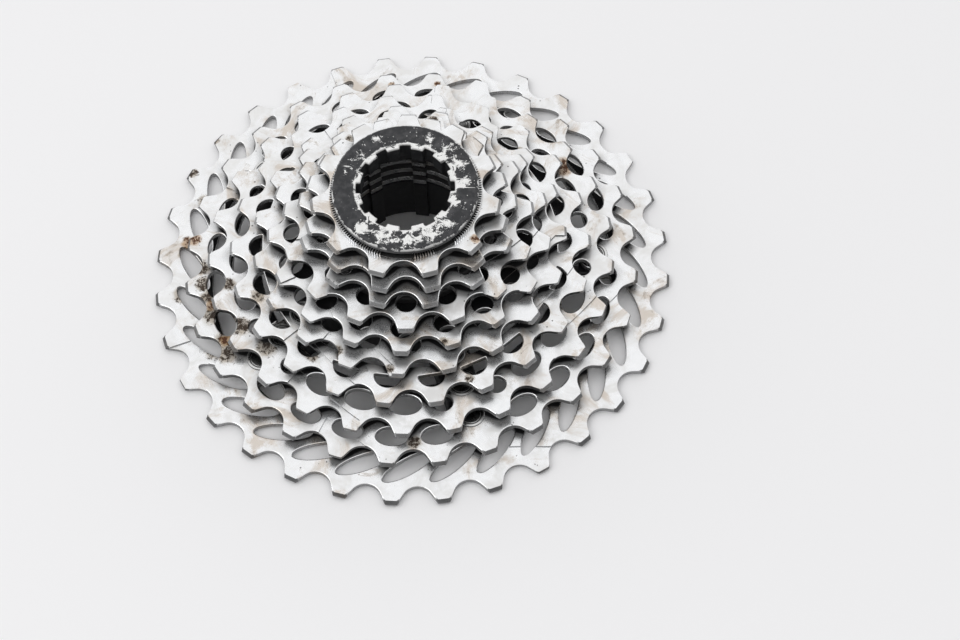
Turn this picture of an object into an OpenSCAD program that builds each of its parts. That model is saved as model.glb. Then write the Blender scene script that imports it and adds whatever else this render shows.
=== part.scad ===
// Ten-speed bicycle cassette, 11 to 32 teeth, lying on the back of its largest sprocket.
// The origin is on the axis at the back face of the 32-tooth sprocket. +Z runs along the
// axis towards the lockring. Four large sprockets are riveted to a five-armed spider, three
// more are pinned to its hub, and the three smallest and the lockring come off one by one.

/* [Chain and stack] */
// Pitch of the chain the teeth are made for
chain_pitch = 12.7; // [12.7:0.1:12.8]
// Distance from one sprocket to the next along the axis
layer = 3.95; // [3.9:0.01:4.0]
// Thickness of each sprocket plate
plate = 1.6; // [1.5:0.05:1.8]

/* [Teeth] */
// Radius of the gullet that a chain roller sits in
gullet_r = 3.95; // [3.9:0.01:4.05]
// Angle of the tooth flanks from the radial direction
flank_angle = 33; // [30:1:36]
// How far the tooth tips stand above the pitch circle
tip_height = 0.5; // [0.3:0.1:0.8]
// Length of the front chamfer that thins each tooth tip
tip_chamfer = 0.75; // [0.5:0.05:1.0]
// Depth of the shift gates in the front faces
gate_depth = 0.4; // [0.3:0.05:0.5]

/* [Freehub bore] */
// Radius of the bore between its splines
bore_r = 17.0; // [16.9:0.05:17.2]
// Radius of the spline tips
spline_tip_r = 16.1; // [15.9:0.05:16.3]
// Width of the eight equal splines
spline_w = 3.4; // [3:0.1:3.8]
// Width of the single narrow spline that sets the rotation
key_spline_w = 2.4; // [2:0.1:2.8]

/* [Spider] */
// Angle of the first arm
arm_angle = -0.5; // [-2:0.5:2]
// Width of an arm
arm_w = 9; // [8:0.5:10]
// Radius of the spider's hub
hub_r = 23.5; // [22:0.5:24]

/* [Rivets and pins] */
// Radius at which the two largest sprockets are riveted
outer_rivet_at = 46.05; // [46:0.05:46.2]
// Radius at which the 25-tooth sprocket is riveted
middle_rivet_at = 39.3; // [39.2:0.05:39.4]
// Radius at which the 22-tooth sprocket is riveted
inner_rivet_at = 32.5; // [32.2:0.1:32.8]
// Radius of a rivet's head
rivet_head_r = 3.45; // [3.2:0.05:3.6]
// Radius of a rivet's shank
rivet_shank_r = 2.3; // [2:0.1:2.5]
// Radius at which the long pins pass through the middle sprockets
pin_at = 19.3; // [19.2:0.05:19.4]
// Radius of a long pin
pin_r = 1.2; // [1:0.1:1.3]

/* [Lockring] */
// Radius of the lockring's flange
flange_r = 17.65; // [17.45:0.05:17.85]
// Thickness of the flange
flange_h = 1.6; // [1.4:0.1:1.8]
// Radius of the threaded neck
neck_r = 15.25; // [15.2:0.01:15.3]
// Length of the threaded neck
neck_h = 6; // [5:0.5:7]
// Radius of the opening between the tool notches
opening_r = 10.85; // [10.8:0.05:11]
// Radius of the bottom of a tool notch
notch_r = 11.9; // [11.8:0.05:12]

/* [Hidden] */
$fn = 64;

arms = 5;
splines = 9;
pins = 3;
notches = 12;
eps = 0.01;
steel = [0.78, 0.78, 0.76];
black = [0.08, 0.08, 0.085];
plastic = [0.12, 0.12, 0.12];

// A sprocket's place in the stack, counted from the largest
place_32 = 0;
place_28 = 1;
place_25 = 2;
place_22 = 3;
place_19 = 4;
place_17 = 5;
place_15 = 6;
place_13 = 7;
place_12 = 8;
place_11 = 9;

// Angle of one tooth of each sprocket
phase_32 = 276.05;
phase_28 = 276.1;
phase_25 = 281.3;
phase_22 = 277.4;
phase_19 = 283.6;
phase_17 = 287.4;
phase_15 = 292.3;
phase_13 = 281.3;
phase_12 = 284.0;
phase_11 = 284.0;

// Inner radii of the four sprockets that are rings with tabs
ring_32 = 50.5;
ring_28 = 45.0;
ring_25 = 37.7;
ring_22 = 34.5;
tab_r = 4.0;
inner_tab_r = 3.5;
rivet_land = 0.6;
rivet_proud = 0.25;

pad_r = 4.9;
step_32 = 42.0;
step_25 = 35.2;
step_22 = 28.9;
gap = layer - plate;
front_drop = 0.6;
back_chamfer = 0.5;
back_drop = 0.35;
spacer_r = 21.4;
boss_r = 18.0;

lock_face_r = 18.4;
lock_face_h = 1.1;
lock_face_z = place_11 * layer + plate + lock_face_h;
lock_grooves = 72;
lock_groove_w = 0.4;
lock_groove_h = 0.35;
washer_h = 0.4;
washer_r = 17.3;
washer_hole_r = 15.4;
flange_z = lock_face_z + washer_h;
flange_bevel = 0.5;
notch_w = 2.8;
notch_phase = 89.5;
notch_depth = 5;
gate_steps = 10;
leaf_end_r = 0.95;
neck_hole_r = 12.6;

function pitch_radius(teeth) = chain_pitch / (2 * sin(180 / teeth));
function level(place) = place * layer;
function ray(angle) = [cos(angle), sin(angle)];

// The empty space between two teeth: a round gullet whose flanks open outwards
module gullet(pitch_r) {
    reach = tip_height + 3;
    tangent_x = gullet_r * cos(flank_angle);
    tangent_y = -gullet_r * sin(flank_angle);
    top_x = tangent_x + (reach - tangent_y) * tan(flank_angle);
    translate([0, pitch_r]) {
        circle(r = gullet_r);
        polygon([
            [-tangent_x, tangent_y], [tangent_x, tangent_y],
            [top_x, reach], [-top_x, reach]
        ]);
    }
}

// Outline of a sprocket, with one tooth centred at the phase angle
module toothed_outline(teeth, phase) {
    pitch_r = pitch_radius(teeth);
    difference() {
        circle(r = pitch_r + tip_height);
        for (i = [0 : teeth - 1])
            rotate(phase - 90 + (i + 0.5) * 360 / teeth) gullet(pitch_r);
    }
}

// Trims the corners of the tooth tips to a cone on each face, the larger one in front
module tip_envelope(teeth) {
    outer = pitch_radius(teeth) + tip_height;
    rotate_extrude()
        polygon([
            [0, 0], [outer - back_chamfer, 0], [outer, back_drop],
            [outer, plate - front_drop], [outer - tip_chamfer, plate], [0, plate]
        ]);
}

// A sunken step in the front face. Its inner edge curves out to the teeth, so the chain climbs
module shift_gates(teeth, place, starts, span, inner_r) {
    rise = pitch_radius(teeth) - 2.5 - inner_r;
    reach = pitch_radius(teeth) + 4;
    color(steel)
        translate([0, 0, level(place) + plate - gate_depth])
            linear_extrude(height = 1)
                for (start = starts)
                    rotate(start)
                        polygon(concat(
                            [for (i = [0 : gate_steps])
                                (inner_r + rise * pow(i / gate_steps, 1.6)) * ray(span * i / gate_steps)],
                            [for (i = [gate_steps : -1 : 0]) reach * ray(span * i / gate_steps)]
                        ));
}

// The splined hole that slides over the freehub
module splined_bore() {
    difference() {
        circle(r = bore_r);
        for (i = [0 : splines - 1]) {
            width = i == 0 ? key_spline_w : spline_w;
            rotate(i * 360 / splines) translate([spline_tip_r, -width / 2]) square([2, width]);
        }
    }
}

// A round-ended hole across the radial direction
module oval_hole(at, across, along) {
    straight = (across - along) / 2;
    translate([-straight, at]) circle(r = along / 2);
    translate([straight, at]) circle(r = along / 2);
    translate([-straight, at - along / 2]) square([2 * straight, along]);
}

// A long slanting hole: two wide arcs for its sides, closed by a small circle at each end
module leaf_hole(at, long, wide, slant) {
    reach = long / 2 - leaf_end_r;
    side = wide / 2 - leaf_end_r;
    off = (reach * reach - side * side) / (2 * side);
    side_r = off + wide / 2;
    meet = side_r * reach / (side_r - leaf_end_r);
    translate([0, at])
        rotate(slant) {
            translate([-reach, 0]) circle(r = leaf_end_r);
            translate([reach, 0]) circle(r = leaf_end_r);
            intersection() {
                translate([0, off]) circle(r = side_r);
                translate([0, -off]) circle(r = side_r);
                square([2 * meet, wide], center = true);
            }
        }
}

// A half-round hole, flat on the side nearest the axis
module half_round_hole(at, radius) {
    intersection() {
        translate([0, at]) circle(r = radius);
        translate([-radius, at]) square([2 * radius, radius]);
    }
}

// Repeats a hole once for each tooth. Holes nearer than clear degrees to an arm are left out
module per_tooth(teeth, first, clear = 0) {
    for (i = [0 : teeth - 1]) {
        angle = first + i * 360 / teeth;
        from_arm = abs((angle - arm_angle + 3600 + 36) % 72 - 36);
        if (from_arm >= clear) rotate(angle - 90) children();
    }
}

module on_arms(radius) {
    for (i = [0 : arms - 1])
        rotate(arm_angle + i * 360 / arms) translate([radius, 0]) children();
}

module on_pins() {
    for (i = [0 : pins - 1])
        rotate(phase_15 + 12 + i * 360 / pins) translate([pin_at, 0]) children();
}

// A ring's inside: one round opening, with a tab left at each arm for its rivet
module ring_opening(inner_r, rivet_at, radius) {
    difference() {
        circle(r = inner_r);
        on_arms(rivet_at) circle(r = radius);
        on_arms(rivet_at) translate([0, -radius]) square([inner_r - rivet_at + 1, 2 * radius]);
    }
}

// Holes of a riveted sprocket, kept clear of the rivet heads
module clear_of_rivets(rivet_at) {
    difference() {
        children();
        on_arms(rivet_at) circle(r = rivet_head_r + rivet_land);
    }
}

// One sprocket plate with its teeth. The children are the outlines cut through it
module sprocket_plate(teeth, phase, place) {
    color(steel)
        translate([0, 0, level(place)])
            intersection() {
                linear_extrude(height = plate)
                    difference() {
                        toothed_outline(teeth, phase);
                        children();
                    }
                tip_envelope(teeth);
            }
}

module splined_ring(outer_r, z, height) {
    translate([0, 0, z])
        linear_extrude(height = height)
            difference() {
                circle(r = outer_r);
                splined_bore();
            }
}

module spacer(place) {
    color(plastic)
        difference() {
            splined_ring(spacer_r, level(place) + plate, gap);
            translate([0, 0, level(place) + plate - eps])
                linear_extrude(height = gap + 2 * eps) on_pins() circle(r = pin_r);
        }
}

module sprocket_32t() {
    difference() {
        sprocket_plate(32, phase_32, place_32) {
            ring_opening(ring_32, outer_rivet_at, tab_r);
            on_arms(outer_rivet_at) circle(r = rivet_shank_r);
            per_tooth(32, phase_32 + 3.5) leaf_hole(55.45, 14.2, 4.1, 31);
        }
        shift_gates(32, place_32, [289, 199, 109, 19], 15.5, 54.5);
    }
}

module sprocket_28t() {
    difference() {
        sprocket_plate(28, phase_28, place_28) {
            ring_opening(ring_28, outer_rivet_at, tab_r);
            on_arms(outer_rivet_at) circle(r = rivet_shank_r);
            clear_of_rivets(outer_rivet_at) per_tooth(28, phase_28 + 0.5, 4) oval_hole(49.4, 7.7, 4.8);
        }
        shift_gates(28, place_28, [244, 334, 64, 154], 15.5, 48.2);
    }
}

module sprocket_25t() {
    difference() {
        sprocket_plate(25, phase_25, place_25) {
            ring_opening(ring_25, middle_rivet_at, tab_r);
            on_arms(middle_rivet_at) circle(r = rivet_shank_r);
            clear_of_rivets(middle_rivet_at) per_tooth(25, phase_25 + 0.5, 2) oval_hole(42.7, 7.8, 5.2);
        }
        shift_gates(25, place_25, [229.5, 318, 57, 143], 25, 42.5);
    }
}

module sprocket_22t() {
    difference() {
        sprocket_plate(22, phase_22, place_22) {
            ring_opening(ring_22, inner_rivet_at, inner_tab_r);
            on_arms(inner_rivet_at) circle(r = rivet_shank_r);
            per_tooth(22, phase_22) half_round_hole(36.9, 3.3);
        }
        shift_gates(22, place_22, [220, 318, 48, 122], 34, 35.2);
    }
}

module sprocket_19t() {
    difference() {
        sprocket_plate(19, phase_19, place_19) {
            splined_bore();
            on_pins() circle(r = pin_r);
            per_tooth(19, phase_19 + 4.5) translate([0, 30]) circle(d = 5.6);
        }
        shift_gates(19, place_19, [233, 328, 45, 140], 30, 26.5);
    }
}

module sprocket_17t() {
    difference() {
        sprocket_plate(17, phase_17, place_17) {
            splined_bore();
            on_pins() circle(r = pin_r);
            per_tooth(17, phase_17) translate([0, 28]) circle(d = 5.4);
        }
        shift_gates(17, place_17, [205, 325, 85], 32, 24.6);
    }
}

module sprocket_15t() {
    difference() {
        sprocket_plate(15, phase_15, place_15) {
            splined_bore();
            on_pins() circle(r = pin_r);
            per_tooth(15, phase_15) translate([0, 23.2]) circle(d = 5);
        }
        shift_gates(15, place_15, [190, 310, 70], 36, 20.6);
    }
}

module sprocket_13t() {
    sprocket_plate(13, phase_13, place_13) {
        splined_bore();
        per_tooth(13, phase_13) translate([0, 21.6]) circle(d = 3);
    }
}

// The two smallest sprockets carry their own spacer as a boss on the back
module sprocket_12t() {
    sprocket_plate(12, phase_12, place_12) splined_bore();
    color(steel) splined_ring(boss_r, level(place_12) - gap, gap);
}

// The raised ring that the lockring bites on, cut away at two gullets
module lock_face() {
    face_z = level(place_11) + plate;
    difference() {
        splined_ring(lock_face_r, face_z, lock_face_h);
        for (i = [0 : lock_grooves - 1])
            rotate(i * 360 / lock_grooves)
                translate([bore_r - 2, -lock_groove_w / 2, face_z + lock_face_h - lock_groove_h])
                    cube([4, lock_groove_w, 1]);
        for (gullet_angle = [263, 301])
            rotate(gullet_angle)
                translate([bore_r - 2, -2.6, face_z]) cube([4, 5.2, 2]);
    }
}

module sprocket_11t() {
    sprocket_plate(11, phase_11, place_11) splined_bore();
    color(steel) splined_ring(boss_r, level(place_11) - gap, gap);
    color(steel) lock_face();
}

module spacer_13_15() {
    color(plastic) splined_ring(spacer_r, level(place_15) + plate, gap);
}

module spacer_15_17() {
    spacer(place_17);
}

module spacer_17_19() {
    spacer(place_19);
}

// A square-ended arm step that reaches out from the hub
module arm_step(reach, low, high) {
    translate([0, 0, low])
        linear_extrude(height = high - low)
            on_arms(0) translate([bore_r + 2, -arm_w / 2]) square([reach - bore_r - 2, arm_w]);
}

module spider() {
    color(black)
        difference() {
            union() {
                cylinder(r = hub_r, h = level(place_19));
                arm_step(step_22, 0, level(place_19));
                arm_step(step_25, 0, level(place_22));
                arm_step(step_32, 0, level(place_25));
                arm_step(outer_rivet_at, plate, level(place_28));
                translate([0, 0, plate])
                    linear_extrude(height = gap) on_arms(outer_rivet_at) circle(r = pad_r);
            }
            translate([0, 0, -1])
                linear_extrude(height = level(place_19) + 2) {
                    splined_bore();
                    on_pins() circle(r = pin_r);
                    on_arms(outer_rivet_at) circle(r = rivet_shank_r);
                    on_arms(middle_rivet_at) circle(r = rivet_shank_r);
                    on_arms(inner_rivet_at) circle(r = rivet_shank_r);
                }
        }
}

// Five rivets with low heads on the front and tails that end flush with the back
module rivets(at, head_r, top) {
    color(steel)
        on_arms(at)
            rotate_extrude()
                polygon([
                    [0, 0], [rivet_shank_r, 0], [rivet_shank_r, top], [head_r, top],
                    [head_r - 0.1, top + rivet_proud], [0, top + rivet_proud]
                ]);
}

module outer_rivets() {
    rivets(outer_rivet_at, rivet_head_r, level(place_28) + plate);
}

module middle_rivets() {
    rivets(middle_rivet_at, rivet_head_r, level(place_25) + plate);
}

module inner_rivets() {
    rivets(inner_rivet_at, inner_tab_r - 0.2, level(place_22) + plate);
}

module long_pins() {
    color(steel) on_pins() cylinder(r = pin_r, h = level(place_15) + plate);
}

module lock_washer() {
    color(steel)
        translate([0, 0, lock_face_z])
            difference() {
                cylinder(r = washer_r, h = washer_h);
                translate([0, 0, -1]) cylinder(r = washer_hole_r, h = washer_h + 2);
            }
}

// The lockring's splined opening, one round-bottomed notch for each tooth of the tool
module tool_opening() {
    circle(r = opening_r);
    for (i = [0 : notches - 1])
        rotate(notch_phase + i * 360 / notches) {
            translate([0, -notch_w / 2]) square([notch_r - 0.5, notch_w]);
            translate([0, -notch_w / 2 + 0.5]) square([notch_r, notch_w - 1]);
            for (side = [-1, 1])
                translate([notch_r - 0.5, side * (notch_w / 2 - 0.5)]) circle(r = 0.5);
        }
}

module lockring() {
    top = flange_z + flange_h;
    color(black)
        difference() {
            rotate_extrude()
                polygon([
                    [0, flange_z - neck_h], [neck_r - 0.6, flange_z - neck_h],
                    [neck_r, flange_z - neck_h + 0.6], [neck_r, flange_z],
                    [flange_r, flange_z], [flange_r, top - flange_bevel],
                    [flange_r - flange_bevel, top], [0, top]
                ]);
            translate([0, 0, top - notch_depth]) linear_extrude(height = notch_depth + 1) tool_opening();
            translate([0, 0, flange_z - neck_h - 1])
                cylinder(r = neck_hole_r, h = flange_h + neck_h - notch_depth + 1);
        }
}

sprocket_11t();
sprocket_12t();
sprocket_13t();
spacer_13_15();
sprocket_15t();
spacer_15_17();
sprocket_17t();
spacer_17_19();
sprocket_19t();
sprocket_22t();
sprocket_25t();
sprocket_28t();
sprocket_32t();
spider();
outer_rivets();
middle_rivets();
inner_rivets();
long_pins();
lock_washer();
lockring();
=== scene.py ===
"""The looks of a ten-speed bicycle cassette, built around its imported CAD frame.

Lengths are millimetres until a mesh is made, then metres. Outlines lie in the XY plane and run
anticlockwise; holes run clockwise. Heights and fits come from the frame.
"""

import math

import bmesh
import bpy
import numpy as np
from mathutils import Matrix, Vector, geometry


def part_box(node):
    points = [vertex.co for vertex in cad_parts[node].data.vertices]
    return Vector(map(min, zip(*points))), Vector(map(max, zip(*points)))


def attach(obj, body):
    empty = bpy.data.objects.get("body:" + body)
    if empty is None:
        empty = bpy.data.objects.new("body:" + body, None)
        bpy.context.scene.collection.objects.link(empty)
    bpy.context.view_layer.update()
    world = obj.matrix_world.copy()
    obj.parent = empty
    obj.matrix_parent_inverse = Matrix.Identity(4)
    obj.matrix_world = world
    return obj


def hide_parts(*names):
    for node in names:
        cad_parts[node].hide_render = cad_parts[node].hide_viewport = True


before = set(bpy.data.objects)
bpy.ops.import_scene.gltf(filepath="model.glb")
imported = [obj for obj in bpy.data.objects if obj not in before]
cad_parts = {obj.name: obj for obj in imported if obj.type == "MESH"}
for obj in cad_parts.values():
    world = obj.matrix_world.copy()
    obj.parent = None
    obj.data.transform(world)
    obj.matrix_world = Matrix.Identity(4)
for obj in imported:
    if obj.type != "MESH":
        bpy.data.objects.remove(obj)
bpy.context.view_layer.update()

MM = 0.001
SAME_POINT = 1e-4
SHARP_ANGLE = 20
WELD = 2e-7
SLIVER = 1e-7

# Chain and tooth form. The tips are (run, drop) of the slope at a tooth's end
CHAIN_PITCH = 12.7
GULLET_R = 3.95
FLANK = math.radians(33)
TIP_HEIGHT = 0.5
TIP_SPLITS = (1.15, 1.9)
GULLET_STEPS = 16
TOOTH_WEAR = (-0.12, 0.06)
WEAR_SEED = 100
FRONT_TIP = (0.75, 0.6)
BACK_TIP = (0.5, 0.35)
GATE_DEPTH = 0.4
GATE_CURVE = 1.6
GATE_END = -2.5
GATE_REACH = 4

# Rim of a plate: its size, and the (inset, drop) shares of the rings that round it
EDGE = 0.24
EDGE_CURVE = ((1.0, 0.0), (0.32, 0.28), (0.0, 1.0))

# How deep the parts of one mesh sink into each other, and how far a cut runs past what it cuts
OVERLAP = 0.02
PAST = 1


def heights(node):
    """A node's lowest and highest point."""
    low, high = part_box(node)
    return low.z / MM, high.z / MM


# Heights from the frame
BASE = heights("sprocket_32t")[0]
PLATE = heights("sprocket_32t")[1] - BASE
LAYER = heights("sprocket_28t")[0] - BASE
GAP = LAYER - PLATE
LOCKRING_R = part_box("lockring")[1].x / MM

# Bore, spider and rivets
BORE_R = 17.0
SPLINE_TIP_R = 16.1
SPLINE_W = 3.4
KEY_SPLINE_W = 2.4
SPLINES = 9
ARMS = 5
ARM_ANGLE = -0.5
ARM_W = 9.0
HUB_R = 23.5
TAB_R = 4.0
INNER_TAB_R = 3.5
OUTER_RIVET_AT = 46.05
MIDDLE_RIVET_AT = 39.3
INNER_RIVET_AT = 32.5
RIVET_HEAD_R = 3.45
SHANK_R = 2.3
SHANK_STEPS = 28
RIVET_RISE = 0.25
PINS = 3
PIN_AT = 19.3
PIN_R = 1.2
PIN_ANGLE = 304.3
BOSS_R = 18.0
SPACER_R = 21.4
WASHER_HOLE_R = 15.4


# ---------------------------------------------------------------- outlines

def polar(radius, degrees):
    angle = math.radians(degrees)
    return np.array([radius * math.cos(angle), radius * math.sin(angle)])


def arc(centre, radius, start, end, steps):
    """Points along an arc, both ends included. Angles are degrees."""
    angles = np.radians(np.linspace(start, end, steps + 1))
    return [np.array([centre[0] + radius * math.cos(a), centre[1] + radius * math.sin(a)])
            for a in angles]


def circle(radius, steps=96, centre=(0, 0)):
    return arc(centre, radius, 0, 360, steps)[:-1]


def turned(points, degrees):
    """Points given as (clockwise, outward) are set at an angle round the axis."""
    angle = math.radians(degrees - 90)
    c, s = math.cos(angle), math.sin(angle)
    return [np.array([c * x - s * y, s * x + c * y]) for x, y in points]


def clean(points):
    """Drops each point that repeats the one before it."""
    kept = []
    for p in points:
        if not kept or np.linalg.norm(p - kept[-1]) > SAME_POINT:
            kept.append(np.asarray(p, float))
    if np.linalg.norm(kept[0] - kept[-1]) <= SAME_POINT:
        kept.pop()
    return kept


def area(points):
    p = np.array(points)
    q = np.roll(p, -1, axis=0)
    return 0.5 * float(np.sum(p[:, 0] * q[:, 1] - q[:, 0] * p[:, 1]))


def wound(points, anticlockwise):
    points = clean(points)
    return points if (area(points) > 0) == anticlockwise else points[::-1]


def rounded(points, radius, steps=3, sharper_than=25):
    """Rounds the corners of an outline that turn by more than a number of degrees."""
    points = clean(points)
    count = len(points)
    out = []
    for i, p in enumerate(points):
        before, after = points[i - 1] - p, points[(i + 1) % count] - p
        la, lb = np.linalg.norm(before), np.linalg.norm(after)
        turn = math.pi - math.acos(np.clip(np.dot(before, after) / (la * lb), -1, 1))
        if math.degrees(turn) < sharper_than:
            out.append(p)
            continue
        back = min(radius * math.tan(turn / 2), 0.45 * la, 0.45 * lb)
        a, b = p + before / la * back, p + after / lb * back
        for k in range(steps + 1):
            t = k / steps
            out.append((1 - t) ** 2 * a + 2 * t * (1 - t) * p + t * t * b)
    return clean(out)


def pitch_radius(teeth):
    return CHAIN_PITCH / (2 * math.sin(math.pi / teeth))


def gullet_and_tip(teeth, phase, gap_index, wear):
    """The outline from one gullet to the end of the tooth after it, with each point's tooth."""
    pitch_r = pitch_radius(teeth)
    step = 360 / teeth
    gap_angle = phase + (gap_index + 0.5) * step
    tip_r = pitch_r + TIP_HEIGHT + wear[gap_index % teeth]
    out = math.radians(gap_angle)
    radial = np.array([math.cos(out), math.sin(out)])
    across = np.array([-math.sin(out), math.cos(out)])

    def flank_end(side, reach):
        """Where a flank meets a circle of that reach round the axis."""
        start = np.array([side * GULLET_R * math.cos(FLANK), pitch_r - GULLET_R * math.sin(FLANK)])
        way = np.array([side * math.sin(FLANK), math.cos(FLANK)])
        b = float(np.dot(start, way))
        s = -b + math.sqrt(b * b - float(np.dot(start, start)) + reach * reach)
        local = start + s * way
        return local[0] * across + local[1] * radial

    points = []
    before_tip = pitch_r + TIP_HEIGHT + wear[(gap_index - 1) % teeth]
    points.append((flank_end(-1, before_tip), gap_index - 1))
    for back in TIP_SPLITS:
        points.append((flank_end(-1, before_tip - back), gap_index - 1))
    low = 180 + math.degrees(FLANK)
    for p in arc((0, pitch_r), GULLET_R, low, 540 - low, GULLET_STEPS):
        tooth = gap_index - 1 if p[0] < 0 else gap_index
        points.append((p[0] * across + p[1] * radial, tooth))
    for back in TIP_SPLITS[::-1]:
        points.append((flank_end(1, tip_r - back), gap_index))
    last = flank_end(1, tip_r)
    points.append((last, gap_index))
    start = math.degrees(math.atan2(last[1], last[0]))
    end = 2 * (phase + (gap_index + 1) * step) - start
    span = (end - start + 180) % 360 - 180
    for k in (1, 2):
        points.append((polar(tip_r, start + span * k / 3), gap_index))
    return points


def toothed_outline(teeth, phase, seed):
    """The outline of a sprocket, and the angle of the tooth that each point belongs to."""
    wear = np.random.default_rng(seed).uniform(*TOOTH_WEAR, teeth)
    points, owners = [], []
    for gap_index in range(teeth):
        for p, tooth in gullet_and_tip(teeth, phase, gap_index, wear):
            if points and np.linalg.norm(p - points[-1]) < SAME_POINT:
                continue
            points.append(p)
            owners.append(phase + (tooth + 1) * 360 / teeth)
    if np.linalg.norm(points[0] - points[-1]) < SAME_POINT:
        points.pop()
        owners.pop()
    return points, owners


def ellipse_hole(at, across, along, aside=0.0, slant=0.0):
    """An elliptical hole at a radius, moved aside and slanted by a number of degrees."""
    c, d = math.cos(math.radians(slant)), math.sin(math.radians(slant))
    points = [(across / 2 * math.cos(t), along / 2 * math.sin(t))
              for t in np.linspace(0, 2 * math.pi, 49)[:-1]]
    return [np.array([aside + c * x - d * y, at + d * x + c * y]) for x, y in points]


def half_round_hole(at, radius):
    shape = arc((0, at), radius, 0, 180, 20)
    return rounded(shape, 0.45, sharper_than=60)


def splined_bore():
    """The freehub bore: a circle broken by splines that point inwards."""
    points = []
    step = 360 / SPLINES
    for i in range(SPLINES):
        width = KEY_SPLINE_W if i == 0 else SPLINE_W
        follow = KEY_SPLINE_W if (i + 1) % SPLINES == 0 else SPLINE_W
        half = math.degrees(math.asin(width / 2 / BORE_R))
        next_half = math.degrees(math.asin(follow / 2 / BORE_R))
        middle = math.radians(i * step)
        u = np.array([math.cos(middle), math.sin(middle)])
        v = np.array([-u[1], u[0]])
        points += [SPLINE_TIP_R * u - width / 2 * v, SPLINE_TIP_R * u + width / 2 * v]
        points += arc((0, 0), BORE_R, i * step + half, (i + 1) * step - next_half, 8)
    return rounded(points, 0.25, steps=2, sharper_than=50)


def ring_opening(ring_r, rivet_at, tab_r):
    """The open inside of a ring sprocket, with a round-ended tab at each arm."""
    points = []
    step = 360 / ARMS
    half = math.degrees(math.asin(tab_r / ring_r))
    fillet_room = 3
    for i in range(ARMS):
        middle = ARM_ANGLE + i * step
        tab = arc((0, rivet_at), tab_r, 0, -180, 16)
        tab = [np.array([tab_r, math.sqrt(ring_r ** 2 - tab_r ** 2)])] + tab
        tab.append(np.array([-tab_r, tab[0][1]]))
        points += turned(tab, middle)
        points += arc((0, 0), ring_r, middle + half + fillet_room,
                      middle + step - half - fillet_room, 24)
    return rounded(points, 2.2, steps=5, sharper_than=40)


def rivet_holes(radius):
    shape = circle(SHANK_R, SHANK_STEPS)
    return [turned([p + (0, radius) for p in shape], ARM_ANGLE + i * 360 / ARMS)
            for i in range(ARMS)]


def pin_holes():
    shape = circle(PIN_R, 24)
    return [turned([p + (0, PIN_AT) for p in shape], PIN_ANGLE + i * 360 / PINS)
            for i in range(PINS)]


def from_arm(angle):
    """Signed degrees from the nearest arm."""
    step = 360 / ARMS
    return (angle - ARM_ANGLE + step / 2) % step - step / 2


def tooth_holes(teeth, first, make):
    """One hole for each tooth. make gets the hole's angle from the nearest arm."""
    holes = []
    for i in range(teeth):
        angle = first + i * 360 / teeth
        shape = make(from_arm(angle))
        if shape is not None:
            holes.append(turned(shape, angle))
    return holes


# ---------------------------------------------------------------- meshes

def left_normals(points):
    """For each corner, the step that moves both its edges one unit to the left."""
    p = np.array(points)
    forward = np.roll(p, -1, axis=0) - p
    forward /= np.linalg.norm(forward, axis=1)[:, None]
    left = np.stack([-forward[:, 1], forward[:, 0]], 1)
    both = left + np.roll(left, 1, axis=0)
    both /= np.linalg.norm(both, axis=1)[:, None]
    spread = np.clip(np.sum(both * left, axis=1), 0.5, 1)
    return both / spread[:, None]


def plate_data(outer, holes, low, high, edge, tips=None, bottom_edge=None):
    """A flat plate with rounded rims. tips gives (owners, run, drop, back_run, back_drop)."""
    bottom_edge = edge if bottom_edge is None else bottom_edge
    loops = [(wound(outer, True) if tips is None else outer, tips)]
    loops += [(wound(h, False), None) for h in holes]
    verts, faces = [], []
    top_ids, bottom_ids = [], []
    for points, tip in loops:
        p = np.array(points)
        count = len(p)
        inset = left_normals(points)
        rows = []
        if tip is None:
            for level, inward in ((high, -edge), (low, bottom_edge)):
                rim = [(inset_share * abs(inward), level + drop_share * inward)
                       for inset_share, drop_share in EDGE_CURVE]
                for step, z in rim if level == high else rim[::-1]:
                    rows.append(np.column_stack([p + inset * step, np.full(count, z)]))
        else:
            owners, run, drop, back_run, back_drop = tip
            axis = np.array([polar(1, a) for a in owners])
            reach = float(np.max(np.sum(p * axis, axis=1)))

            def face(level, direction, length, fall, chamfer):
                """The rings of the face and of its rounded rim on one side of the plate."""
                rings = []
                for inset_share, drop_share in EDGE_CURVE:
                    q = p + inset * inset_share * chamfer
                    over = np.clip(np.sum(q * axis, axis=1) - (reach - length), 0, None)
                    if not rings:
                        rings.append(np.column_stack([q - axis * over[:, None],
                                                      np.full(count, level)]))
                    z = level - direction * (fall * over / length + drop_share * chamfer)
                    rings.append(np.column_stack([q, z]))
                return rings

            rows += face(high, 1, run, drop, edge)
            rows += face(low, -1, back_run, back_drop, bottom_edge)[::-1]
        start = len(verts)
        for row in rows:
            verts += [tuple(v) for v in row]
        for r in range(len(rows) - 1):
            for i in range(count):
                j = (i + 1) % count
                a, b = start + r * count + i, start + r * count + j
                faces.append((a, a + count, b + count, b))
        top_ids.append(range(start, start + count))
        bottom_ids.append(range(start + (len(rows) - 1) * count, start + len(rows) * count))
    for ids, up in ((top_ids, True), (bottom_ids, False)):
        flat_ids = [i for loop in ids for i in loop]
        rings = [[Vector((verts[i][0], verts[i][1], 0)) for i in loop] for loop in ids]
        for a, b, c in geometry.tessellate_polygon(rings):
            a, b, c = flat_ids[a], flat_ids[b], flat_ids[c]
            pa, pb, pc = (np.array(verts[k][:2]) for k in (a, b, c))
            turn = (pb - pa)[0] * (pc - pa)[1] - (pb - pa)[1] * (pc - pa)[0]
            faces.append((a, b, c) if (turn > 0) == up else (a, c, b))
    return verts, faces


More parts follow.
